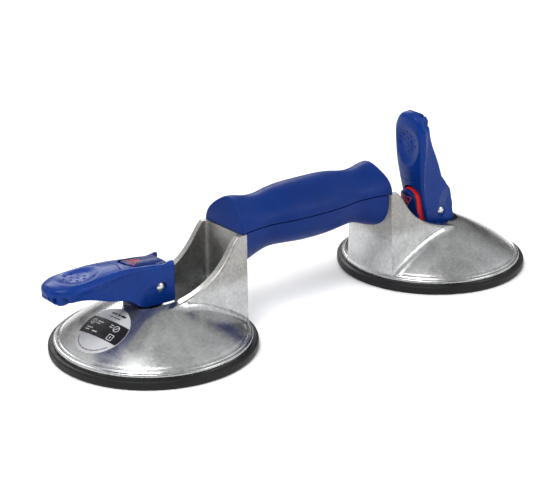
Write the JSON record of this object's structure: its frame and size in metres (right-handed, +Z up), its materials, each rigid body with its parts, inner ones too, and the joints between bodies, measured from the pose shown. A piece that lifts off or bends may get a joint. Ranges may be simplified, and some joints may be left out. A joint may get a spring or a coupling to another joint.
{
  "type": "vacuum suction lifter",
  "caption": "Hand-held suction lifter: a grip bar on cast pedestals over domed vacuum cups, each with a fold-down cam lever and a vacuum indicator.",
  "frame": {"origin": "midway between the two cups, on the plane that the pads stand on", "axes": "+X along the grip from the cup with the folded lever to the cup with the raised lever, +Y to the back, +Z up"},
  "size_m": [0.3457, 0.12, 0.1035],
  "materials": {
    "cast_aluminium": "satin die casting, brighter on the domes",
    "grip_plastic": "fine matte moulding",
    "lever_plastic": "semi-gloss moulding",
    "cam_plastic": "matte moulding",
    "pad_rubber": "satin rubber",
    "rod_steel": "machined",
    "pin_steel": "polished",
    "wear_steel": "ground",
    "bush_bronze": "machined",
    "indicator_red": "semi-gloss moulding",
    "indicator_blue": "semi-gloss moulding",
    "label_foil": "printed foil"
  },
  "bodies": {
    "root": {"cast_body": "cast_aluminium", "grip_cover": "grip_plastic", "grip_lower": "grip_plastic", "grip_screws": "pin_steel", "label": "label_foil", "suction_pad_left": "pad_rubber", "suction_pad_right": "pad_rubber", "rod_bushing_left": "bush_bronze", "rod_bushing_right": "bush_bronze", "bearing_plate_left": "wear_steel", "bearing_plate_right": "wear_steel"},
    "rod_left": {"pull_rod_left": "rod_steel", "pad_plate_left": "rod_steel", "lock_nut_left": "rod_steel", "pivot_pin_left": "pin_steel"},
    "lever_left": {"lever_left": "lever_plastic", "cam_block_left": "cam_plastic", "indicator_pin_left": "pin_steel", "indicator_spring_left": "pin_steel"},
    "indicator_left": {"indicator_body_left": "indicator_red", "indicator_cap_left": "indicator_blue"},
    "rod_right": {"pull_rod_right": "rod_steel", "pad_plate_right": "rod_steel", "lock_nut_right": "rod_steel", "pivot_pin_right": "pin_steel"},
    "lever_right": {"lever_right": "lever_plastic", "cam_block_right": "cam_plastic", "indicator_pin_right": "pin_steel", "indicator_spring_right": "pin_steel"},
    "indicator_right": {"indicator_body_right": "indicator_red", "indicator_cap_right": "indicator_blue"}
  },
  "joints": [
    {"name": "rod_slide_left", "type": "slide", "parent": "root", "child": "rod_left", "axis": [0, 0, 1], "range_m": [-0.0025, 0]},
    {"name": "lever_hinge_left", "type": "hinge", "parent": "rod_left", "child": "lever_left", "pos_m": [-0.108, 0, 0.0385], "axis": [0, 1, 0], "range_deg": [0, 98]},
    {"name": "indicator_slide_left", "type": "slide", "parent": "lever_left", "child": "indicator_left", "axis": [0, 0, 1], "range_m": [0, 0.0047]},
    {"name": "rod_slide_right", "type": "slide", "parent": "root", "child": "rod_right", "axis": [0, 0, 1], "range_m": [0, 0.0025]},
    {"name": "lever_hinge_right", "type": "hinge", "parent": "rod_right", "child": "lever_right", "pos_m": [0.108, 0, 0.036], "axis": [0, 1, 0], "range_deg": [0, 98]},
    {"name": "indicator_slide_right", "type": "slide", "parent": "lever_right", "child": "indicator_right", "axis": [-0.9903, 0, -0.1392], "range_m": [-0.0047, 0]}
  ],
  "couplings": [
    {"joint": "lever_hinge_left", "follows": "rod_slide_left", "rad_per_m": -684.1},
    {"joint": "indicator_slide_left", "follows": "rod_slide_left", "ratio": -1.8798},
    {"joint": "lever_hinge_right", "follows": "rod_slide_right", "rad_per_m": 684.1},
    {"joint": "indicator_slide_right", "follows": "rod_slide_right", "ratio": -1.8798}
  ]
}
